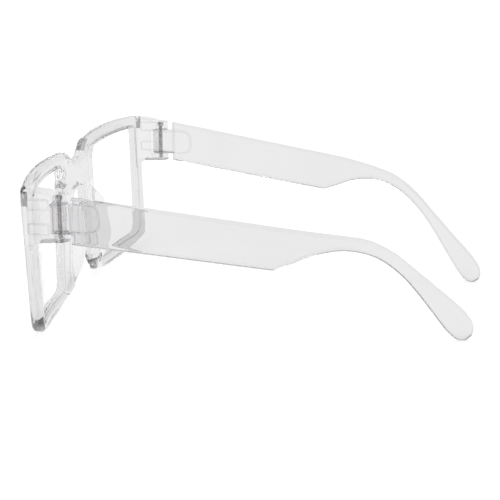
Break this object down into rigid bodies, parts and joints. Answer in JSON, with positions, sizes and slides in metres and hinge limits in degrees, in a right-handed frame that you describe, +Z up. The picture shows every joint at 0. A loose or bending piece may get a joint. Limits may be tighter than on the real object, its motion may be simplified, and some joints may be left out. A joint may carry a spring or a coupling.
{
  "type": "eyeglasses",
  "caption": "Clear moulded plastic eyeglasses with squared rims, clear lenses, moulded nose pads and broad flat temples that fold on screwed three-knuckle hinges.",
  "frame": {"origin": "on the table plane, under the middle of the whole object's bounding box with both temples open", "axes": "+Z up, +Y from the lenses back to the temple tips, +X towards the wearer's left"},
  "size_m": [0.1466, 0.1644, 0.0602],
  "materials": {
    "clear_plastic": "clear, polished, injection moulded",
    "lens": "clear, polished",
    "screw": "turned steel"
  },
  "bodies": {
    "front": {"front_frame": "clear_plastic", "lens_left": "lens", "lens_right": "lens", "hinge_screw_left": "screw", "hinge_screw_right": "screw"},
    "temple_left": {"temple_left": "clear_plastic"},
    "temple_right": {"temple_right": "clear_plastic"}
  },
  "joints": [
    {"name": "fold_left", "type": "hinge", "parent": "front", "child": "temple_left", "pos_m": [0.0686, -0.0619, 0.0479], "axis": [0, 0, 1], "range_deg": [0, 79]},
    {"name": "fold_right", "type": "hinge", "parent": "front", "child": "temple_right", "pos_m": [-0.0686, -0.0619, 0.0479], "axis": [0, 0, -1], "range_deg": [0, 60]}
  ]
}
